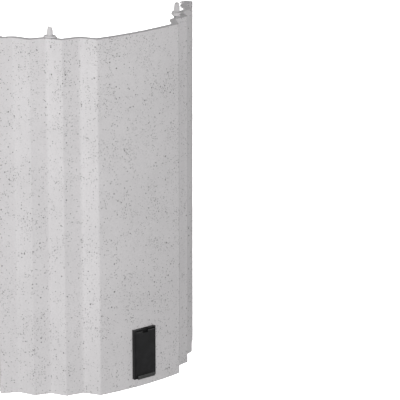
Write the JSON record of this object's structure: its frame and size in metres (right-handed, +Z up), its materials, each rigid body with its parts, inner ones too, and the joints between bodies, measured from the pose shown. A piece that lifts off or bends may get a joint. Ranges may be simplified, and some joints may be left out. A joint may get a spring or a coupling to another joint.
{
  "type": "street cabinet door",
  "caption": "Removable bowed front door of a street cable cabinet, with stepped sides, hanging pegs on its top edge and a lock under a black flap at the bottom centre.",
  "frame": {"origin": "middle of the floor area under the standing door, at the height of its bottom edge", "axes": "+Z up along the door's height, -Y towards the street (the side with the lock cover), +X to the right seen from the street"},
  "size_m": [0.5896, 0.203, 0.89],
  "materials": {
    "moulded_shell": "matt light grey moulded compound with fine dark specks",
    "grey_plastic": "plain matt light grey moulded plastic",
    "black_plastic": "fine grained black moulded plastic",
    "foam_rubber": "closed-cell foam rubber",
    "zinc_steel": "zinc-plated steel",
    "bright_steel": "bright drawn steel",
    "blackened_steel": "oil-blackened steel",
    "satin_nickel": "satin nickel-plated brass",
    "brass": "plain machined brass"
  },
  "bodies": {
    "door": {"door_shell": "moulded_shell", "peg_left": "grey_plastic", "peg_right": "grey_plastic", "peg_plate_left": "zinc_steel", "peg_plate_right": "zinc_steel", "peg_screws": "zinc_steel", "seal_left": "foam_rubber", "seal_right": "foam_rubber", "lock_frame": "black_plastic", "frame_gasket": "foam_rubber", "flap_pin": "blackened_steel", "cylinder_body": "satin_nickel", "driver_pins": "bright_steel", "pin_springs": "bright_steel", "cylinder_screw": "zinc_steel", "lock_case": "zinc_steel", "case_pillars": "zinc_steel", "case_cover": "zinc_steel", "guide_stud": "bright_steel", "bolt_guide": "black_plastic", "lock_screws": "zinc_steel", "cover_screws": "zinc_steel", "guide_screws": "zinc_steel"},
    "flap": {"lock_flap": "black_plastic"},
    "cylinder_core": {"cylinder_plug": "satin_nickel", "key_pins": "brass", "drive_pinion": "brass", "plug_clip": "bright_steel"},
    "bolt": {"lock_bolt": "zinc_steel"}
  },
  "joints": [
    {"name": "flap_hinge", "type": "hinge", "parent": "door", "child": "flap", "pos_m": [0, -0.0925, 0.139], "axis": [-1, 0, 0], "range_deg": [0, 110]},
    {"name": "bolt_slide", "type": "slide", "parent": "door", "child": "bolt", "axis": [0, 0, -1], "range_m": [0, 0.0212]},
    {"name": "cylinder_turn", "type": "hinge", "parent": "door", "child": "cylinder_core", "pos_m": [0, -0.0621, 0.091], "axis": [0, 1, 0], "range_deg": [0, 90]}
  ],
  "couplings": [
    {"joint": "cylinder_turn", "follows": "bolt_slide", "rad_per_m": 74.074}
  ]
}
